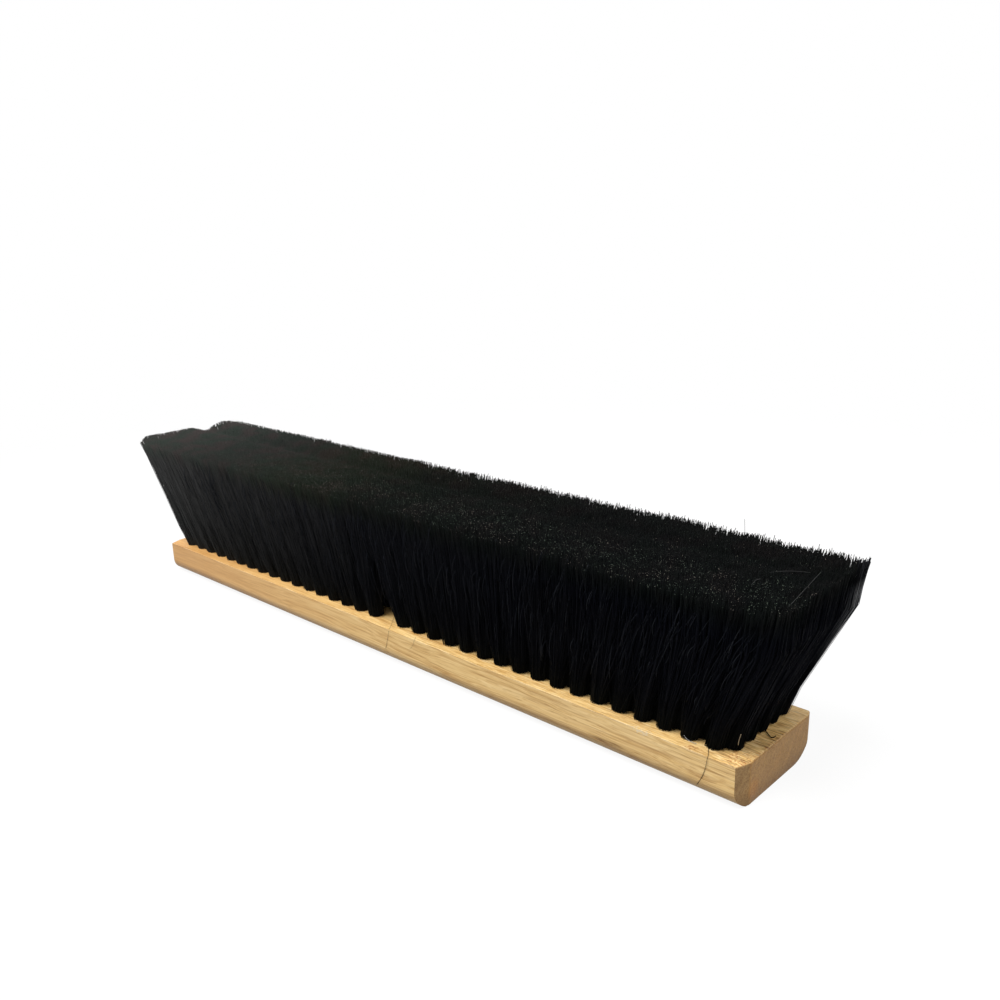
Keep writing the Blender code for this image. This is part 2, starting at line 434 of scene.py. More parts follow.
class Oak(Finish):
    """Oak: growth rings round a pith below the block, long fibre streaks, pores and dull end grain.

    Its colours are laid over one another, from the plain wood to the marks of single places.
    """

    def lay_grain(self):
        """The patterns that the colours and the relief are made from."""
        self.place, self.x, self.y, self.z = self.coordinates()

        # Growth rings, as the distance from the pith, which wanders along the block
        sway = self.stretched(self.place, 170 * MM, 26 * MM, detail=1.5)
        wobble = self.stretched(self.place, 30 * MM, 6 * MM, detail=1.0, shift=3.0)
        across = self.y - PITH_Y
        above = self.z - PITH_Z
        radius = (across * across + above * above) ** 0.5
        radius = radius + (sway - 0.5) * RING_SWAY + (wobble - 0.5) * RING_WOBBLE
        self.ring = (radius * (2 * math.pi / RING_SPACING)).math("SINE") * 0.5 + 0.5

        # Fibre streaks, from broad to fine, which drift and waver as they run along the block
        self.drift = (sway - 0.5) * GRAIN_DRIFT + (wobble - 0.5) * GRAIN_WAVER
        self.grain = self.node("CombineXYZ", {}, self.x, self.y + self.drift, self.z + self.drift)
        self.bands = self.stretched(self.grain, 120 * MM, 4.5 * MM, detail=1.0, shift=7.0)
        self.streaks = self.stretched(self.grain, 40 * MM, 1.2 * MM, detail=2.0, roughness=0.6, shift=11.0)
        self.lines = self.stretched(self.grain, 20 * MM, 0.55 * MM, detail=1.0, roughness=0.5, shift=17.0)

        # Pores: fine dark dashes, thickest in the early wood of each ring
        dashes = self.stretched(self.grain, 9.0 * MM, 0.4 * MM, detail=1.0, shift=23.0)
        dashes = self.fade(dashes + (0.5 - self.ring) * 0.08, 0.58, 0.68)
        self.pores = dashes * self.fade(self.x, -60 * MM, 150 * MM, 0.3, 1.0)

        # The faces: how far a point belongs to the drilled face and to the two ends
        normal = self.node("NewGeometry", {}).output("Normal")
        self.facing = self.node("SeparateXYZ", {}, normal)
        self.upward = self.fade(self.facing.output("Z"), 0.5, 0.95)
        self.ends = self.fade(abs(self.facing), 0.35, 0.75)

        # Torn fibres on the drilled face, small specks, and the marks and cells of the end grain
        self.rough = self.stretched(self.place, 5.5 * MM, 0.5 * MM, detail=2.0, roughness=0.6, shift=41.0)
        self.speckle = self.stretched(self.place, 1.4 * MM, 0.8 * MM, detail=1.0, shift=31.0)
        slant_across = (self.y - self.z * 0.7) * (1 / (2.4 * MM))
        slant_along = (self.z + self.y * 0.7) * (1 / (24 * MM))
        slanted = self.node("CombineXYZ", {}, 0.0, slant_across, slant_along)
        self.marks = self.node("TexNoise", {}, Vector=slanted, Scale=1.0, Detail=2.0, Roughness=0.5)
        cell_scale = 1 / (0.9 * MM)
        self.cells = self.node("TexNoise", {}, Vector=self.place, Scale=cell_scale, Detail=2.0, Roughness=0.6)

    def plain_wood(self):
        """The figure of the wood from dark to pale, plainer and warmer towards the left end."""
        fineness = self.fade(self.x, 20 * MM, 200 * MM, 0.34, 0.48)
        figure = self.ring * 0.12 + self.bands * 0.30 + self.streaks * 0.50 + self.lines * fineness
        left = self.fade(self.x, 60 * MM, -230 * MM)
        figure = (figure - 0.62) * (1 - left * 0.6) + 0.62
        base = self.ramp(
            figure,
            (0.40, (0.36, 0.182, 0.062)),
            (0.53, (0.56, 0.325, 0.112)),
            (0.66, (0.76, 0.515, 0.215)),
            (0.84, (0.88, 0.650, 0.320)),
        )
        return self.mix("MULTIPLY", left, base, (0.88, 0.735, 0.66))

    def grain_lines(self, wood):
        """Pores, narrow dark lines towards the right end, and long sharp seams."""
        wood = self.mix("MULTIPLY", self.pores * 0.6, wood, (0.55, 0.40, 0.27))
        comb = ((self.z + self.drift * 0.4) * (2 * math.pi / LINE_SPACING)).math("SINE") * 0.5 + self.streaks
        narrow = self.fade(comb, 0.62, 0.95) * self.fade(self.x, 60 * MM, 190 * MM)
        wood = self.mix("MULTIPLY", narrow * 0.75, wood, (0.58, 0.46, 0.34))
        seams = self.stretched(self.grain, 70 * MM, 0.75 * MM, detail=1.0, roughness=0.4, shift=47.0)
        seams = self.fade(seams, 0.555, 0.63) * self.fade(self.x, -120 * MM, 140 * MM, 0.2, 1.0)
        return self.mix("MULTIPLY", seams * 0.5, wood, (0.62, 0.50, 0.36))

    def drilled_face(self, wood):
        """Painted light brightens the drilled face, which is torn; a painted highlight runs along its front
        brink.
        """
        # Painted light: the drilled face is made brighter, as if lit more than the front
        wood = self.mix("MULTIPLY", self.upward, wood, (1.18, 1.15, 1.05))
        torn = self.upward * self.fade(self.x, -80 * MM, 60 * MM, 0.3, 1.0)
        raised = self.fade(self.rough, 0.54, 0.66) * torn
        wood = self.mix("MIX", raised * 0.5, wood, (0.94, 0.78, 0.46))
        sunk = self.fade(self.rough, 0.46, 0.34) * torn
        wood = self.mix("MULTIPLY", sunk * 0.55, wood, (0.58, 0.44, 0.28))
        # A painted highlight along the front brink of the drilled face
        brink = self.fade(self.z, 19.9 * MM, 20.3 * MM) * self.fade(self.y, -31.0 * MM, -31.4 * MM)
        brink = brink * self.fade(self.lines, 0.45, 0.62, 0.0, 0.35)
        return self.mix("MIX", brink, wood, (0.94, 0.76, 0.46))

    def front_marks(self, wood):
        """The front's foot, darkened as painted shade, with a dark vein along it, a knot shadow, a flame and
        pale flecks.
        """
        # Painted shade: the front darkens towards its foot
        foot = self.fade(self.z, 9.5 * MM, 1.0 * MM)
        wood = self.mix("MULTIPLY", foot, wood, (0.52, 0.47, 0.42))
        vein = self.near(self.grain, (140, -31.75, 7.0), (100, 9, 1.5))
        wood = self.mix("MULTIPLY", vein * 0.4, wood, (0.55, 0.42, 0.30))
        shadow = self.near(self.place, (161, -31, 7.8), (14, 6, 1.6))
        shadow = shadow * self.fade(self.lines, 0.42, 0.62, 0.3, 1.0)
        wood = self.mix("MULTIPLY", shadow, wood, (0.34, 0.26, 0.19))
        flame = self.near(self.place, (123, -31.75, 14.5), (16, 3, 5)) * self.fade(self.streaks, 0.50, 0.60)
        wood = self.mix("MULTIPLY", flame * 0.7, wood, (0.70, 0.60, 0.48))
        flecks = self.near(self.place, (179, -31.5, 20.6), (8, 3, 3)) * self.fade(self.speckle, 0.54, 0.62)
        return self.mix("MIX", flecks * 0.5, wood, (0.72, 0.70, 0.62))

    def right_end_marks(self, wood):
        """Red-brown specks and torn dark nicks on the drilled face, near the right end."""
        spots = self.near(self.place, (225, -25, 20.6), (9, 10, 3))
        spots = spots + self.near(self.place, (205, -30, 20.6), (6, 3, 2))
        spots = spots + self.near(self.place, (228, -3, 20.6), (2.5, 16, 1.5)) * 0.7
        spots = spots * self.fade(self.speckle, 0.55, 0.61)
        wood = self.mix("MULTIPLY", spots * 0.8, wood, (0.50, 0.22, 0.12))
        nicks = self.stretched(self.place, 7 * MM, 0.7 * MM, detail=1.0, shift=37.0)
        nicks = self.fade(nicks, 0.49, 0.63) * self.fade(self.y, 0, 26 * MM, 1.0, 0.45)
        nicks = nicks * self.fade(self.x, 208 * MM, 216 * MM) * self.fade(self.z, 20.4 * MM, 20.6 * MM)
        return self.mix("MULTIPLY", nicks * 0.68, wood, (0.34, 0.26, 0.18))

    def end_grain(self, wood):
        """The ends are cut across the fibres and look browner; their corner facets are greyer."""
        end_colour = self.ramp(
            self.marks,
            (0.30, (0.60, 0.485, 0.325)),
            (0.50, (0.66, 0.54, 0.36)),
            (0.70, (0.74, 0.60, 0.405)),
        )
        wood = self.mix("MIX", self.ends * 0.5, wood, (0.44, 0.28, 0.10))
        wood = self.mix("MULTIPLY", self.ends, wood, end_colour)
        dark_cells = self.ends * self.fade(self.cells, 0.45, 0.62, 0.0, 0.6)
        wood = self.mix("MULTIPLY", dark_cells, wood, (0.72, 0.66, 0.58))
        warm = self.near(self.place, (228.6, -21, 7), (3, 6, 6)) * self.ends
        wood = self.mix("MULTIPLY", warm * 0.7, wood, (1.15, 0.95, 0.62))
        facet = self.ends * self.fade(abs(self.facing.output("Y")), 0.18, 0.32)
        return self.mix("MULTIPLY", facet, wood, (0.92, 1.02, 1.45))

    def relief(self):
        """Raised fibres and sunk pores, with the marks and cells of the end grain."""
        height = self.lines * 0.6 + self.streaks * 0.4 - self.pores * 0.6
        height = height + (self.marks * 0.15 + self.cells * 0.35) * self.ends + self.rough * self.upward * 0.6
        return self.node("Bump", {}, Strength=0.45, Distance=0.15 * MM, Height=height)


def hardwood():
    oak = Oak("oak", roughness=0.5, specular=0.3)
    oak.lay_grain()
    wood = oak.plain_wood()
    wood = oak.grain_lines(wood)
    wood = oak.drilled_face(wood)
    wood = oak.front_marks(wood)
    wood = oak.right_end_marks(wood)
    wood = oak.end_grain(wood)
    oak.surface("Base Color", wood)
    oak.surface("Roughness", oak.lines * 0.25 + oak.pores * 0.2 + 0.36)
    oak.surface("Normal", oak.relief())
    return oak.material


class BlackFibre(Finish):
    """Black fibre: the map's first axis is a strand's shade, and its second runs to the cut tip."""

    def read_map(self):
        split = self.node("SeparateXYZ", {}, self.node("UVMap", {"uv_map": "OFBake"}))
        self.shade = split.output("X")
        self.along = split.output("Y")
        self.place, self.x, self.y, self.z = self.coordinates()

    def strand_colour(self):
        """Black to the painted glare's grey, then the glints' and the sheen's painted highlights, and the
        pale shed hairs.
        """
        body = self.ramp(
            self.shade,
            # Up to 0.77: black, greyed by the painted glare towards the left end
            (0.0, (0.0009, 0.0011, 0.0025)),
            (0.30, (0.0046, 0.0049, 0.0064)),
            (0.55, (0.0235, 0.0235, 0.0236)),
            (0.77, (0.0560, 0.0560, 0.0560)),
            # 0.79 to 0.835: the glints' painted highlight
            (0.79, (0.0045, 0.0055, 0.0090)),
            (0.835, (0.0400, 0.0430, 0.0490)),
            # 0.885: the painted sheen's grey on the far right corner
            (0.885, (0.065, 0.065, 0.068)),
            (0.90, (0.40, 0.41, 0.43)),
            (0.97, (0.36, 0.27, 0.16)),
        )
        foot = self.fade(self.along, 0.0, 0.22, 1.0, 0.0)
        return self.mix("ADD", foot, body, (0.0016, 0.0032, 0.0022))

    def tinted(self, body):
        """Greenish towards the tips, browner along the rear, and navy towards the right end."""
        black = self.fade(self.shade, 0.55, 0.35)
        ends = self.fade(self.along, 0.70, 0.88) * black
        body = self.mix("MULTIPLY", ends, body, (0.92, 1.06, 0.72))
        body = self.mix("MULTIPLY", ends * self.fade(self.y, 4 * MM, 26 * MM), body, (1.18, 0.98, 0.98))
        navy = self.fade(self.x, 90 * MM, 190 * MM) * self.fade(self.z, 30 * MM, 55 * MM)
        navy = navy * self.fade(self.along, 0.88, 0.75) * black
        return self.mix("MULTIPLY", navy, body, (0.96, 1.03, 1.24))

    def corner_sheen(self, body):
        """Coat the far corner's sheen strands from below the tips to half way down, and blacken the rest."""
        corner = self.fade(self.x, 205 * MM, 215 * MM)
        not_hair = self.fade(self.shade, 0.93, 0.91)
        outside = self.fade(self.z, 66 * MM, 44 * MM) + self.fade(self.z, 81 * MM, 89 * MM)
        outside = outside * corner * self.fade(self.shade, 0.775, 0.785) * not_hair
        inside = self.fade(self.z, 44 * MM, 66 * MM) * self.fade(self.z, 89 * MM, 81 * MM)
        self.surface("Coat Weight", inside * corner * self.fade(self.shade, 0.81, 0.88) * not_hair)
        self.shader.inputs["Coat Roughness"].default_value = SHEEN_ROUGHNESS
        return self.mix("MULTIPLY", outside, body, (0.06, 0.06, 0.07))

    def with_tips(self, body):
        """The cut ends' painted highlight from dull to bright, with a patchy tint over them and the strands'
        tops.
        """
        cut = self.ramp(
            self.along,
            (TIP_PATCH, (0.001, 0.001, 0.001)),
            (0.955, (0.006, 0.006, 0.006)),
            (0.969, (0.036, 0.036, 0.035)),
            (0.980, (0.080, 0.080, 0.077)),
            (0.995, (0.55, 0.55, 0.50)),
        )
        tip = self.fade(self.along, TIP_PATCH - 0.02, TIP_PATCH - 0.01)
        patch_scale = 1 / (13 * MM)
        patches = self.node("TexNoise", {}, Vector=self.place, Scale=patch_scale, Detail=1.0, Roughness=0.5)
        tint = self.ramp(
            patches,
            (0.38, (0.84, 1.03, 0.88)),
            (0.50, (0.97, 1.03, 0.93)),
            (0.62, (1.20, 1.03, 0.98)),
        )
        tops = self.fade(self.along, 0.74, 0.90) * self.fade(self.shade, 0.79, 0.78)
        return self.mix("MULTIPLY", tops, self.mix("ADD", tip, body, cut), tint)


def black_fibre():
    fibre = BlackFibre("black_fibre", roughness=0.55, specular=0.03)
    fibre.read_map()
    body = fibre.tinted(fibre.strand_colour())
    body = fibre.corner_sheen(body)
    fibre.surface("Base Color", fibre.with_tips(body))
    return fibre.material


def distinct(values):
    """The different values among these, in order, each once."""
    values = np.unique(np.round(values, 6))
    return values[np.append(True, np.diff(values) > CLOSE)]


def tuft_centres(node):
    """Plan places of the tufts that a CAD bank holds, read from the six-sided feet of its stems."""
    points = np.array([vertex.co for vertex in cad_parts[node].data.vertices])
    feet = points[points[:, 2] < points[:, 2].min() + CLOSE]
    centres = []

    # Each foot's corners stand in three lines across the block, and its two tips are on the middle one
    for x in distinct(feet[:, 0])[1::3]:
        tips = distinct(feet[abs(feet[:, 0] - x) < CLOSE][:, 1])
        centres += [(x, y) for y in tips.reshape(-1, 2).mean(1)]
    return np.array(centres)


def row_starts(centres):
    """How far from the middle the first tuft stands in each of these tufts' rows."""
    rows = [abs(all_centres[:, 1] - y) < MM for y in centres[:, 1]]
    return np.array([abs(all_centres[row, 0]).min() for row in rows])


def valley_line(x):
    """Where the shallow valley along the trimmed top is deepest."""
    return VALLEY_Y - x * VALLEY_SLOPE


def trim_height(x, y):
    """Height of the trimmed top, with a shallow valley along it and its long edges rolled over."""
    depth = VALLEY_DEPTH - VALLEY_TAPER * x / top_half_x
    valley = depth * np.exp(-(((y - valley_line(x)) / VALLEY_WIDTH) ** 2))
    front = FRONT_ROLL * np.clip((-y - ROLL_FROM) / ROLL_WIDTH, 0, 1) ** 2
    rear = REAR_ROLL * np.clip((y - ROLL_FROM) / ROLL_WIDTH, 0, 1) ** 2
    return bristle_top - valley - front - rear


def painted_glare(x):
    """How much painted glare greys the fibres, from 0 at the right to 1 at the left end."""
    return np.clip((GLARE_START - x) / GLARE_LENGTH, 0, 1)


class TuftBank:
    """The tufts of one CAD bank, grown strand by strand; its arrays run over tufts and then strands."""

    def __init__(self, centres, profile):
        self.centres = centres
        self.profile = profile
        self.count = (len(centres), STRANDS_PER_TUFT)
        self.side = np.sign(centres[:, 0])
        self.distance = abs(centres[:, 0])
        self.start = row_starts(centres)
        self.calm = 1 - GLARE_CALM * painted_glare(centres[:, :1])
        self.sow_strands()
        self.aim_tufts()
        self.part_strands()
        self.trim_sides()
        self.run_strands()

    def of_lock(self, values):
        """Each strand's value, from the values of the locks."""
        return values[np.arange(self.count[0])[:, None], self.lock]

    def draw_locks(self, scatter, *axes):
        """A random amount for each lock."""
        return rng.normal(0, scatter, (self.count[0], LOCKS_PER_TUFT, *axes))

    def sow_strands(self):
        """Spread the strands over the foot of their tuft, and find the lock that each belongs to."""
        index = np.arange(STRANDS_PER_TUFT) + 0.5
        reach = np.sqrt(index / STRANDS_PER_TUFT)
        self.angle = index * GOLDEN_ANGLE + rng.uniform(0, 2 * math.pi, (self.count[0], 1))
        self.disc = reach[:, None] * np.stack([np.cos(self.angle), np.sin(self.angle)], 2)
        self.disc += rng.normal(0, DISC_SCATTER, self.disc.shape)
        outer = LOCKS_PER_TUFT - 1
        slice_angle = 2 * math.pi / outer
        self.lock = np.where(reach < LOCK_CORE, outer, (self.angle / slice_angle).astype(int) % outer)
        middle = (self.lock + 0.5) * slice_angle
        self.lock_place = LOCK_RADIUS * np.stack([np.cos(middle), np.sin(middle)], 2)
        self.lock_place[self.lock == outer] = 0

    def aim_tufts(self):
        """Where each tuft points at the top: in over the middle gap, or out past the block."""
        inward = GAP_LEAN * (self.start - GAP_EDGE) * np.exp(-(self.distance - self.start) / GAP_REACH)
        power = np.where(self.side < 0, *END_LEAN_POWER)
        outward = (top_half_x - TIP_INSET_X - outer_column) * (self.distance / outer_column) ** power
        tip_x = self.side * (self.distance - inward + outward)
        tip_y = self.centres[:, 1] / outer_row * (top_half_y - TIP_INSET_Y)
        self.aim = np.stack([tip_x, tip_y], 1)[:, None]

    def part_strands(self):
        """How far each strand parts at the top from where its tuft points, the strays farthest."""
        calm = self.calm[:, :, None]
        stray = rng.random((*self.count, 1)) < STRAY_SHARE
        longer_side = np.maximum(abs(np.cos(self.angle)), abs(np.sin(self.angle)))[:, :, None]
        square = self.disc / longer_side**SQUARING
        parting = (square + LOCK_GATHER * (self.lock_place - square)) * TIP_SPREAD
        parting += self.of_lock(calm * LOCK_SHIFT * self.draw_locks(1, 2))
        parting += rng.normal(0, TIP_SCATTER, parting.shape) * (1 + stray * calm * (STRAY_SCATTER - 1))
        self.tip = self.aim + parting

    def trim_sides(self):
        """Cut back the tips that lie past the edges of the trimmed top, and then past its corners."""
        limit = np.array((top_half_x, top_half_y + EDGE_OVERHANG_Y))
        self.tip -= np.clip(abs(self.tip) - limit, 0, None) * np.sign(self.tip) * EDGE_TRIM
        reach = np.where(self.side < 0, *CORNER_REACH)[:, None]
        past = np.clip((abs(self.tip) * CORNER_SIDE).sum(2) - reach, 0, None)
        self.tip -= CORNER_TRIM * past[:, :, None] * CORNER_SIDE * np.sign(self.tip)

    def gap_fan(self):
        """How far the tufts beside the middle gap fan out over it."""
        beside_gap = self.distance - self.start < MM
        inner = np.clip(-self.side[:, None] * self.disc[:, :, 0], 0, 1)
        return -self.side[:, None] * inner * (beside_gap * (self.start - GAP_EDGE))[:, None]

    def run_strands(self):
        """Lead each strand from its foot to its tip, through the rings of the profile."""
        fan = self.gap_fan()
        parting = self.tip - self.aim
        bow = self.of_lock(self.draw_locks(LOCK_BOW, 2))
        bow += rng.normal(0, STRAND_BOW, self.disc.shape)
        self.paths = np.zeros((*self.count, len(self.profile), 3))
        for ring, (height, tuft_radius, spring, lean) in enumerate(self.profile):
            axis = self.centres[:, None] * (1 - lean) + self.aim * lean
            spread = self.disc * tuft_radius * MM + parting * spring
            self.paths[:, :, ring, :2] = axis + spread + bow * math.sin(math.pi * height) ** 2
            self.paths[:, :, ring, 0] += fan * height**GAP_FAN_POWER
        self.tip = self.paths[:, :, -1]
        top = trim_height(self.tip[:, :, 0], self.tip[:, :, 1])
        top += self.of_lock(self.draw_locks(LOCK_LENGTH_SCATTER) * self.calm)
        top += rng.normal(0, LENGTH_SCATTER, self.count) * self.calm
        foot = block_top - ROOT_SINK
        self.paths[:, :, :, 2] = foot + (top - foot)[:, :, None] * self.profile[:, 0]

    def shades(self):
        """How grey each strand is: painted glare towards the left end, painted sheen at the far right corner.
        """
        glare = painted_glare(self.tip[:, :, 0])
        plain = 1 - GLARE_EVENNESS * glare
        shade = BLACK_SHADE + GLARE_SHADE * glare + SHADE_SCATTER * rng.random(self.count) * plain
        shade += self.of_lock(self.draw_locks(LOCK_SHADE_SCATTER)) * plain
        shade = np.clip(shade, 0, PALEST_SHADE)
        slant = self.tip[:, :, 0] * CORNER_SIDE[0] + self.tip[:, :, 1] * CORNER_SIDE[1]
        # Painted sheen: the far right corner's outer strands get a paler grey, besides the real gloss of
        # their coat
        sheen = (slant > SHEEN_FROM) & (rng.random(self.count) < SHEEN_SHARE)
        shade[sheen] = np.interp(slant[sheen], (SHEEN_FROM, SHEEN_FULL), SHEEN_SHADE)
        return shade.ravel()

    def shines(self):
        """Each cut tip's painted highlight; the brightest are mostly on the front third, towards the right.
        """
        x = self.tip[:, :, 0]
        y = self.tip[:, :, 1]
        shine = (TIP_SHINE + GLARE_SHINE * painted_glare(x)) * rng.uniform(*SHINE_RANGE, self.count)
        shine *= self.of_lock(rng.uniform(*LOCK_SHINE_RANGE, (self.count[0], LOCKS_PER_TUFT)))
        # Painted shade: the tips along the valley are dimmed
        shine[abs(y - valley_line(x)) < VALLEY_PAINTED_SHADE_WIDTH] *= VALLEY_SHINE
        shine[y > REAR_SHINE_FROM] += REAR_SHINE
        share = np.where(y < FRONT_THIRD, BRIGHT_SHARE_FRONT, BRIGHT_SHARE)
        share = share * np.clip((x - BRIGHT_FROM) / BRIGHT_RISE, 0, 1)
        bright = rng.random(self.count) < share
        shine[bright] = rng.uniform(*BRIGHT_SHINE, bright.sum())
        return shine.ravel()


def strand_rings(paths, radius, angle):
    """Points of a ring round each path at each of its points, given the angles of the ring's corners."""
    forward = np.gradient(paths, axis=1)
    forward /= np.linalg.norm(forward, axis=2, keepdims=True)
    aside = np.eye(3)[abs(forward.mean(1)).argmin(1)][:, None]
    first = np.cross(forward, aside)
    first /= np.linalg.norm(first, axis=2, keepdims=True)
    second = np.cross(forward, first)
    cosine = np.cos(angle)[:, None, :, None]
    sine = np.sin(angle)[:, None, :, None]
    ring = cosine * first[:, :, None] + sine * second[:, :, None]
    return paths[:, :, None] + ring * radius[:, None, None, None]


def strand_faces(count, rings):
    """The faces of every strand as numbers of its points: its sides, its foot and its cut tip."""
    start = np.arange(count)[:, None, None] * rings * STRAND_SIDES
    level = np.arange(rings - 1)[None, :, None] * STRAND_SIDES
    here = np.arange(STRAND_SIDES)
    low = start + level + here
    low_next = start + level + (here + 1) % STRAND_SIDES
    sides = np.stack([low, low_next, low_next + STRAND_SIDES, low + STRAND_SIDES], 3).reshape(-1, 4)
    foot = start[:, 0] + here[::-1]
    tip = start[:, 0] + (rings - 1) * STRAND_SIDES + here
    return sides, foot, tip


def strand_map(heights, shade, shine, angle):
    """Map places of the faces: a narrow column for each strand at its shade, and a patch for each end."""
    shape = (len(shade), len(heights) - 1, STRAND_SIDES)
    left = shade[:, None, None] + np.arange(STRAND_SIDES) * COLUMN_WIDTH / STRAND_SIDES
    left = np.broadcast_to(left, shape)
    right = left + COLUMN_WIDTH / STRAND_SIDES
    heights = heights[None, :, None] * BODY_MAP
    bottom = np.broadcast_to(heights[:, :-1], shape)
    top = np.broadcast_to(heights[:, 1:], shape)
    corners = [np.stack(pair, 3) for pair in ((left, bottom), (right, bottom), (right, top), (left, top))]
    sides = np.stack(corners, 3)
    patch = PATCH_RADIUS * np.stack([np.cos(angle[0]), np.sin(angle[0])], 1)
    middle = shade + COLUMN_WIDTH / 2
    foot = np.stack([middle, np.full(len(shade), FOOT_PATCH)], 1)[:, None] + patch[::-1]
    tip = np.stack([middle, TIP_PATCH + shine * TIP_PATCH_HEIGHT], 1)[:, None] + patch
    return np.concatenate([places.reshape(-1, 2) for places in (sides, foot, tip)])


def strand_mesh(name, paths, heights, radius, shade, shine, material):
    """Round strands along paths, closed at both ends, in one mesh with its own map."""
    count, rings = paths.shape[:2]
    turn = rng.uniform(0, 2 * math.pi, count)
    angle = turn[:, None] + np.arange(STRAND_SIDES) * 2 * math.pi / STRAND_SIDES
    points = strand_rings(paths, radius, angle)
    polygons = strand_faces(count, rings)
    places = strand_map(heights, shade, shine, angle)
    loops = np.concatenate([faces.ravel() for faces in polygons])
    sizes = np.concatenate([np.full(len(faces), faces.shape[1]) for faces in polygons])

    mesh = bpy.data.meshes.new(name)
    mesh.vertices.add(points.size // 3)
    mesh.vertices.foreach_set("co", points.astype(np.float32).ravel())
    mesh.loops.add(len(loops))
    mesh.loops.foreach_set("vertex_index", loops.astype(np.int32))
    mesh.polygons.add(len(sizes))
    mesh.polygons.foreach_set("loop_start", (np.cumsum(sizes) - sizes).astype(np.int32))
    mesh.update(calc_edges=True)
    mesh.polygons.foreach_set("use_smooth", np.ones(len(sizes), bool))
    mesh.uv_layers.new(name="OFBake", do_init=False).data.foreach_set("uv", places.astype(np.float32).ravel())
    mesh.materials.append(material)
    strands = bpy.data.objects.new(name, mesh)
    bpy.context.scene.collection.objects.link(strands)
    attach(strands, "root")
    return strands


def bank_profile(bank):
    """The rings of a bank's strands; those near the right end lean out lower down."""
    near_right_end = "right" in bank and int(bank[-2:]) >= END_COLUMN
    return END_PROFILE if near_right_end else PROFILE


def make_tufts(material):
    for bank in banks:
        profile = bank_profile(bank)
        grown = TuftBank(tuft_centres(bank), profile)
        paths = grown.paths.reshape(-1, len(profile), 3)
        shade = grown.shades()
        shine = grown.shines()
        radius = STRAND_RADIUS * rng.uniform(*STRAND_THICKNESS, len(paths))
        name = bank.replace("tuft_bank", "tufts")
        tufts = strand_mesh(name, paths, profile[:, 0], radius, shade, shine, material)
        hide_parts(bank)


def make_glints(material):
    """Fibres that surface for a short way on the two long sides of the mass, thickest towards the right."""
    place = GLINT_RIGHTMOST - GLINT_RUN * rng.random(GLINTS) ** GLINT_CROWDING
    side = np.where(rng.random(GLINTS) < GLINT_FRONT_SHARE, -1, 1)
    low = rng.uniform(*GLINT_LOW, GLINTS)
    high = np.minimum(low + rng.uniform(*GLINT_RISE, GLINTS), GLINT_HIGHEST)
    lean = GLINT_LEAN + GLINT_FAN * place + rng.normal(0, GLINT_LEAN_SCATTER, GLINTS)
    curve = rng.normal(0, GLINT_CURVE, GLINTS)

    # The face of the mass, at the heights of the profile's rings
    tall, tuft_radius, spring, leaning = END_PROFILE.T
    face = outer_row * (1 - leaning) + (top_half_y - TIP_INSET_Y) * leaning
    face = face + tuft_radius * MM + TIP_SPREAD[1] * spring

    step = np.linspace(0, 1, GLINT_RINGS)
    height = low[:, None] + (high - low)[:, None] * step
    arch = 4 * step * (1 - step)
    x = place * (outer_column + (top_half_x - outer_column) * np.interp(low, tall, leaning))
    y = np.interp(height, tall, face) - GLINT_DIVE * (1 - arch) + GLINT_PROUD
    paths = np.zeros((GLINTS, GLINT_RINGS, 3))
    paths[:, :, 0] = x[:, None] + lean[:, None] * (height - low[:, None]) * trim + curve[:, None] * arch
    paths[:, :, 1] = side[:, None] * y
    paths[:, :, 2] = block_top + height * trim
    strength = np.interp(place, (0, GLINT_STRONG_FROM), (GLINT_WEAKEST, 1))
    # The glints' paler grey is a painted highlight, weaker towards the left
    shade = GLINT_SHADE + GLINT_BRIGHTEST * rng.random(GLINTS) ** GLINT_RARITY * strength
    radius = STRAND_RADIUS * rng.uniform(*GLINT_THICKNESS, GLINTS)
    shine = np.full(GLINTS, GLINT_TIP)
    strand_mesh("glints", paths, step, radius, shade, shine, material)


def smooth_run(points, count):
    """Evenly spaced points along a line through these, in millimetres, with its corners rounded."""
    points = np.array(points) * MM
    for _ in range(HAIR_ROUNDINGS):
        quarter = points[:-1] * 0.75 + points[1:] * 0.25
        most = points[:-1] * 0.25 + points[1:] * 0.75
        cut = np.stack([quarter, most], 1).reshape(-1, 3)
        points = np.concatenate([points[:1], cut[1:-1], points[-1:]])
    gone = np.append(0, np.cumsum(np.linalg.norm(np.diff(points, axis=0), axis=1)))
    even = np.linspace(0, gone[-1], count)
    return np.stack([np.interp(even, gone, points[:, axis]) for axis in range(3)], 1)


def make_loose_hairs(material):
    """Shed fibres: some lie over the front of the block, some across the trimmed top."""
    paths = np.stack([smooth_run(points, HAIR_RINGS) for points, _, _ in LOOSE_HAIRS])
    radius = np.array([thickness * MM / 2 for _, thickness, _ in LOOSE_HAIRS])
    shade = np.array([grey for _, _, grey in LOOSE_HAIRS])
    heights = np.linspace(0, 1, HAIR_RINGS)
    shine = np.full(len(shade), HAIR_TIP)
    strand_mesh("loose_hairs", paths, heights, radius, shade, shine, material)


def deselect_all():
    bpy.ops.object.select_all(action="DESELECT")


def apply_placing():
    bpy.ops.object.transform_apply(location=True, rotation=True, scale=True)


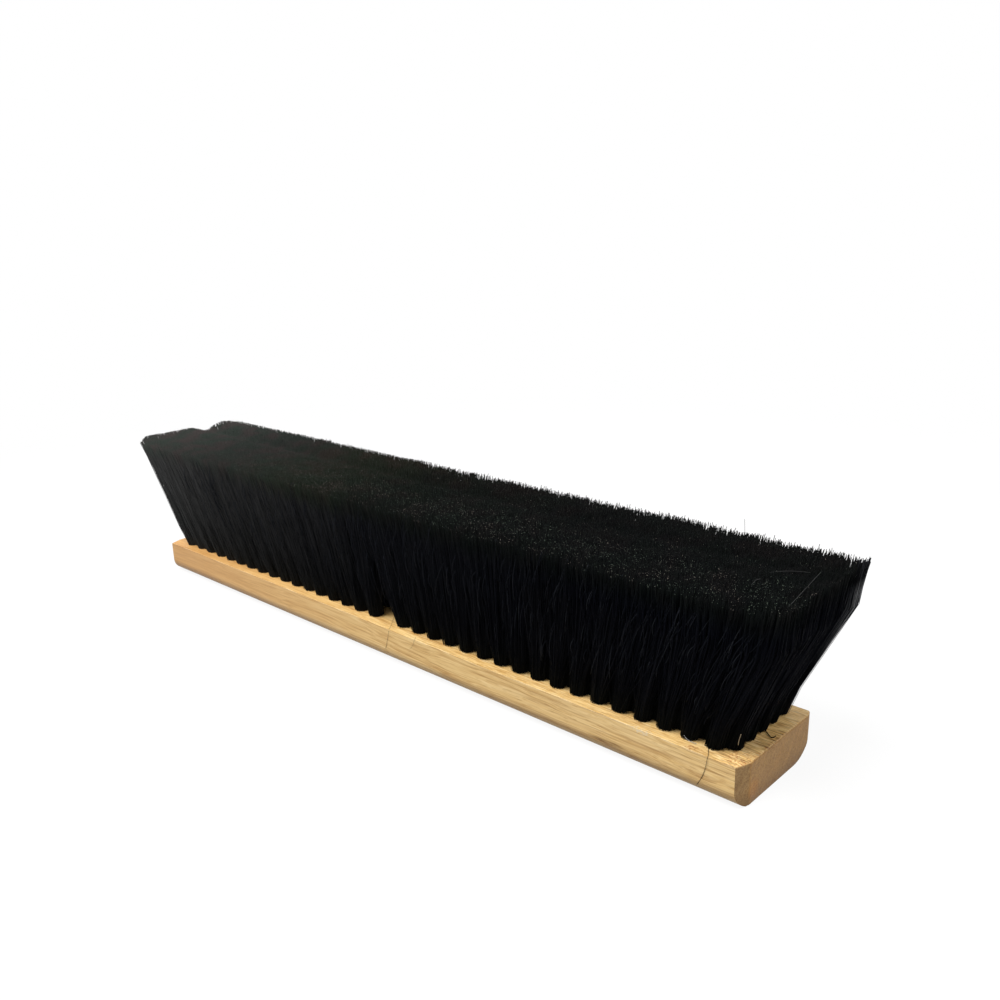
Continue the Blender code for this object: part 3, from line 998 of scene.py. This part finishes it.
def bevel_edges(thing, chosen, size, steps):
    """Bevel the edges whose two ends pass a test."""
    bpy.context.tool_settings.mesh_select_mode = (False, True, False)
    bpy.ops.object.mode_set(mode="EDIT")
    bpy.ops.mesh.select_all(action="DESELECT")
    bpy.ops.object.mode_set(mode="OBJECT")
    vertices = thing.data.vertices
    for edge in thing.data.edges:
        ends = [vertices[i].co for i in edge.vertices]
        edge.select = chosen(*ends)
    bpy.ops.object.mode_set(mode="EDIT")
    bpy.ops.mesh.bevel(offset=size, segments=steps)
    bpy.ops.object.mode_set(mode="OBJECT")


def cut_away(thing, cutter):
    """Boolean the cutter out of the thing and delete the cutter."""
    modifier = thing.modifiers.new("cut", "BOOLEAN")
    modifier.operation = "DIFFERENCE"
    modifier.object = cutter
    bpy.context.view_layer.objects.active = thing
    bpy.ops.object.modifier_apply(modifier=modifier.name)
    bpy.data.objects.remove(cutter, do_unlink=True)


def round_back(block, size, back):
    """Round the block's two long back edges, each by its own size."""
    for side, round_size in ((-1, FRONT_ROUND), (1, REAR_ROUND)):

        def along_back(a, b):
            return max(a.z, b.z) < back + MM and min(a.y * side, b.y * side) > size.y / 2 - MM

        bevel_edges(block, along_back, round_size, ROUND_STEPS)


def cut_corners(size, back):
    """Cut the four upright corners of the selected block, more across it than along it."""
    bpy.ops.object.mode_set(mode="EDIT")
    for side_x in (-1, 1):
        for side_y, (along, across) in ((-1, FRONT_CORNER_CUT), (1, REAR_CORNER_CUT)):
            bpy.ops.mesh.select_all(action="SELECT")
            bpy.ops.mesh.bisect(
                plane_co=(side_x * (size.x / 2 - along), side_y * size.y / 2, back),
                plane_no=Vector((side_x * across, side_y * along, 0)).normalized(),
                use_fill=True,
                clear_outer=True,
            )
    bpy.ops.object.mode_set(mode="OBJECT")


def soften_edges(block, size, top):
    """Soften the edges round both ends, and then the two long edges of the drilled face."""
    end = size.x / 2
    cut = end - FRONT_CORNER_CUT[0]

    def round_end(a, b):
        nearer, farther = sorted((abs(a.x), abs(b.x)))
        return a.x * b.x > 0 and nearer > cut - CLOSE and farther > end - CLOSE

    def along_top(a, b):
        return min(a.z, b.z) > top - CLOSE and abs(a.x - b.x) > end

    bevel_edges(block, round_end, END_EDGE_SOFT, END_EDGE_STEPS)
    bevel_edges(block, along_top, LONG_EDGE_SOFT, LONG_EDGE_STEPS)


def hole_drill():
    """Every tuft hole as one cutter, copied from a single modelled cylinder."""
    bpy.ops.mesh.primitive_cylinder_add(vertices=HOLE_SIDES, radius=HOLE_RADIUS, depth=2 * HOLE_DEPTH)
    drill = bpy.context.object
    bit = np.array([vertex.co for vertex in drill.data.vertices])
    copies = [bit + (x, y, block_top) for x, y in all_centres]
    polygons = [tuple(polygon.vertices) for polygon in drill.data.polygons]
    faces = []
    for number in range(len(copies)):
        faces += [tuple(i + number * len(bit) for i in polygon) for polygon in polygons]
    mesh = bpy.data.meshes.new("drill")
    mesh.from_pydata(np.concatenate(copies).tolist(), [], faces)
    drill.data = mesh
    return drill


def socket_drill():
    """The tapered cutter of the handle socket, on its slanted axis, which runs out past the back."""
    taper = (SOCKET_MOUTH_RADIUS - SOCKET_TIP_RADIUS) / SOCKET_DEPTH
    axis = Vector((0, -math.sin(SOCKET_TILT), math.cos(SOCKET_TILT)))
    middle = Vector((0, SOCKET_CENTRE_Y, 0)) + axis * (SOCKET_DEPTH - SOCKET_RUN_OUT) / 2
    bpy.ops.mesh.primitive_cone_add(
        vertices=SOCKET_SIDES,
        radius1=SOCKET_MOUTH_RADIUS + taper * SOCKET_RUN_OUT,
        radius2=SOCKET_TIP_RADIUS,
        depth=SOCKET_DEPTH + SOCKET_RUN_OUT,
        location=middle,
        rotation=(SOCKET_TILT, 0, 0),
    )
    apply_placing()
    return bpy.context.object


def model_block(material):
    """The wooden block: rounded back, cut corners, softened edges, then its holes."""
    low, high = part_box("block")
    size = high - low
    deselect_all()
    bpy.ops.mesh.primitive_cube_add(size=1, location=(low + high) / 2, scale=size)
    block = bpy.context.object
    block.name = "wood_block"
    apply_placing()
    round_back(block, size, low.z)
    cut_corners(size, low.z)
    soften_edges(block, size, high.z)
    cut_away(block, hole_drill())
    cut_away(block, socket_drill())
    bpy.ops.object.shade_smooth_by_angle(angle=SMOOTH_ANGLE)
    weigh = block.modifiers.new("weigh", "WEIGHTED_NORMAL")
    weigh.keep_sharp = True
    bpy.ops.object.modifier_apply(modifier=weigh.name)
    block.data.materials.clear()
    block.data.materials.append(material)
    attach(block, "root")
    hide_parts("block")


def set_camera():
    data = bpy.data.cameras.new("camera")
    data.lens = CAMERA_LENS
    data.sensor_width = SENSOR_WIDTH
    data.clip_start = CAMERA_NEAR
    camera = bpy.data.objects.new("camera", data)
    turn = Matrix((CAMERA_RIGHT, [-a for a in CAMERA_DOWN], [-a for a in CAMERA_FORWARD])).transposed()
    camera.matrix_world = Matrix.Translation(CAMERA_PLACE) @ turn.to_4x4()
    bpy.context.scene.collection.objects.link(camera)
    bpy.context.scene.camera = camera


def area_lamp(name, place, aim, size, power):
    data = bpy.data.lights.new(name, "AREA")
    data.shape = "DISK"
    data.size = size
    data.energy = power
    lamp = bpy.data.objects.new(name, data)
    lamp.location = place
    lamp.rotation_euler = (Vector(aim) - Vector(place)).to_track_quat("-Z", "Y").to_euler()
    bpy.context.scene.collection.objects.link(lamp)


def light_studio():
    """Two lamps, and a sky that is white to look at and duller as light."""
    area_lamp("key", KEY_PLACE, KEY_AIM, KEY_SIZE, KEY_POWER)
    area_lamp("rim", RIM_PLACE, RIM_AIM, RIM_SIZE, RIM_POWER)
    world = bpy.data.worlds.new("studio")
    bpy.context.scene.world = world
    world.use_nodes = True
    nodes = world.node_tree.nodes
    links = world.node_tree.links
    path = nodes.new("ShaderNodeLightPath")
    white = nodes.new("ShaderNodeMath")
    white.operation = "MAXIMUM"
    links.new(path.outputs["Is Camera Ray"], white.inputs[0])
    links.new(path.outputs["Is Glossy Ray"], white.inputs[1])
    strength = nodes.new("ShaderNodeMapRange")
    links.new(white.outputs[0], strength.inputs["Value"])
    strength.inputs["To Min"].default_value = SKY_LIGHT
    strength.inputs["To Max"].default_value = 1.0
    background = nodes["Background"]
    links.new(strength.outputs[0], background.inputs["Strength"])
    background.inputs["Color"].default_value = (1, 1, 1, 1)


def pale_floor():
    """Pale where it is looked at, duller for the light that it throws back, and white far away."""
    finish = Finish("pale_floor", roughness=1.0, specular=0.0)
    path = finish.node("LightPath", {})
    seen = path.math("MAXIMUM", path, path.output("Is Glossy Ray"))
    seen = seen.math("MAXIMUM", seen, path.output("Is Transmission Ray"))
    finish.surface("Base Color", finish.mix("MIX", seen, FLOOR_THROW, FLOOR_LOOK))
    place = finish.node("TexCoord", {}).output("Object")
    distance = finish.node("VectorMath", {"operation": "LENGTH"}, place).output("Value")
    glow = finish.node("Emission", {}, (1, 1, 1, 1), 1.0)
    far = finish.fade(distance, FLOOR_WHITE_FROM, FLOOR_WHITE_TO, FLOOR_GLOW) * seen
    blend = finish.node("MixShader", {}, far, Wire(finish, finish.shader.outputs[0]), glow)
    finish.feed(finish.tree.nodes["Material Output"].inputs["Surface"], blend)
    return finish.material


def lay_floor():
    deselect_all()
    bpy.ops.mesh.primitive_plane_add(size=FLOOR_SIZE, location=(0, 0, 0))
    floor = bpy.context.object
    floor.name = "floor"
    floor.data.materials.append(pale_floor())


block_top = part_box("block")[1].z
bristle_top = cad_bounds[1][2]
trim = bristle_top - block_top
top_half_x = cad_bounds[1][0]
top_half_y = cad_bounds[1][1]
banks = sorted(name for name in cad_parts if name.startswith("tuft_bank"))
all_centres = np.concatenate([tuft_centres(node) for node in banks])
outer_column = abs(all_centres[:, 0]).max()
outer_row = abs(all_centres[:, 1]).max()

set_camera()
light_studio()
lay_floor()
model_block(hardwood())
fibre = black_fibre()
make_tufts(fibre)
make_glints(fibre)
make_loose_hairs(fibre)

bpy.context.scene.view_settings.view_transform = "Standard"
